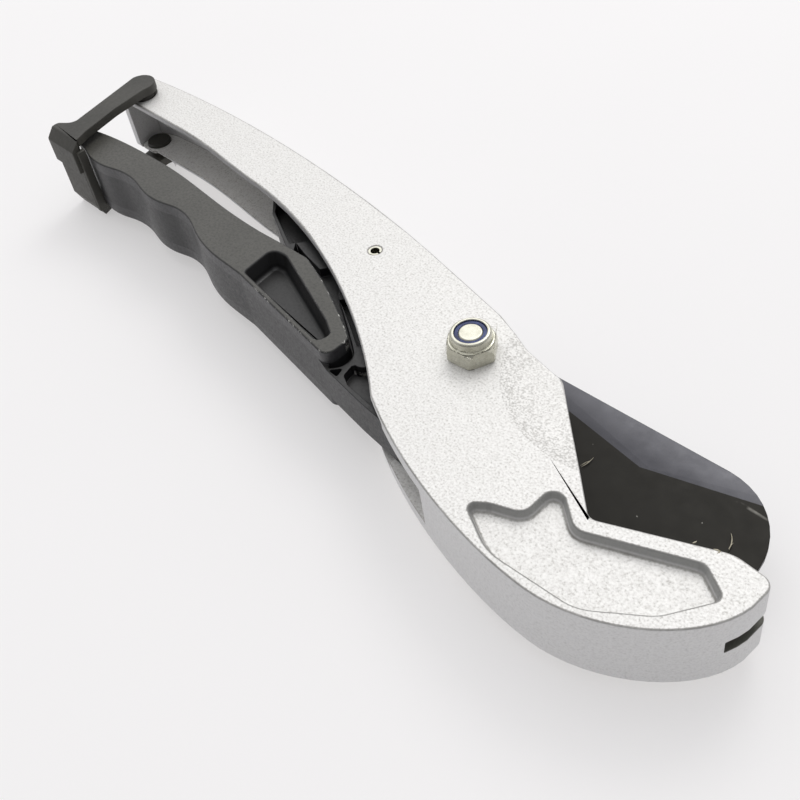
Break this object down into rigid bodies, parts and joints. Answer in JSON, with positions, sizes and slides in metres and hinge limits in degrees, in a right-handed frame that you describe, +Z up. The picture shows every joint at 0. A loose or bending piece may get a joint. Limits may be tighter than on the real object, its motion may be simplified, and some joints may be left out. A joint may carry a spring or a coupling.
{
  "type": "pipe cutter",
  "caption": "Hand ratchet cutter for plastic pipe: cast frame with a hooked jaw, squeeze handle, swinging blade fed by pawls, and a latch loop.",
  "frame": {"origin": "middle of the underside of the whole tool as it lies on its side, level with the bottom of the latch loop", "axes": "+X along the tool towards the jaw tip, +Y towards the back of the fixed grip, +Z up along the pivot bolt towards the lock nut"},
  "size_m": [0.2326, 0.0646, 0.0275],
  "materials": {
    "cast_silver": "shot-blasted aluminium casting with a sandy silver finish",
    "cast_black": "aluminium casting with satin black paint, worn at the edges",
    "black_plastic": "moulded black plastic",
    "blade_steel": "hardened steel with a dark smooth coating",
    "zinc_steel": "bright zinc-plated steel",
    "blue_nylon": "blue nylon",
    "pawl_steel": "hardened steel",
    "spring_steel": "drawn spring wire"
  },
  "bodies": {
    "frame": {"body": "cast_silver", "pivot_bolt": "zinc_steel", "lock_nut": "zinc_steel", "nut_insert": "blue_nylon", "pivot_bush": "pawl_steel", "shim_washers": "zinc_steel", "handle_spring": "spring_steel", "roll_pin": "zinc_steel", "hold_pawl_spring": "spring_steel"},
    "handle": {"handle": "cast_black", "feed_pawl_pin": "pawl_steel", "feed_pawl_spring": "spring_steel"},
    "blade": {"blade": "blade_steel"},
    "hold_pawl": {"hold_pawl": "pawl_steel"},
    "feed_pawl": {"feed_pawl": "pawl_steel"},
    "latch": {"latch": "black_plastic"}
  },
  "joints": [
    {"name": "handle_pivot", "type": "hinge", "parent": "frame", "child": "handle", "pos_m": [0.03875, 0.00473, 0.01275], "axis": [0, 0, 1], "range_deg": [0, 25], "deforming": ["handle_spring"]},
    {"name": "blade_pivot", "type": "hinge", "parent": "frame", "child": "blade", "pos_m": [0.03875, 0.00473, 0.01275], "axis": [0, 0, 1], "range_deg": [0, 50]},
    {"name": "hold_pawl_pivot", "type": "hinge", "parent": "frame", "child": "hold_pawl", "pos_m": [-0.00245, 0.01533, 0.01275], "axis": [0, 0, 1], "range_deg": [0, 4], "stiffness_Nm_per_rad": 0.02, "springref_deg": -22.92, "deforming": ["hold_pawl_spring"]},
    {"name": "feed_pawl_pivot", "type": "hinge", "parent": "handle", "child": "feed_pawl", "pos_m": [0.01875, -0.00877, 0.01275], "axis": [0, 0, 1], "range_deg": [0, 8], "stiffness_Nm_per_rad": 0.02, "springref_deg": -22.92, "deforming": ["feed_pawl_spring"]},
    {"name": "latch_swing", "type": "hinge", "parent": "frame", "child": "latch", "pos_m": [-0.10955, 0.02333, 0.01275], "axis": [0, 0, 1], "range_deg": [-225, 0]}
  ],
  "couplings": [
    {"joint": "latch_swing", "follows": "handle_pivot", "ratio": -9}
  ]
}
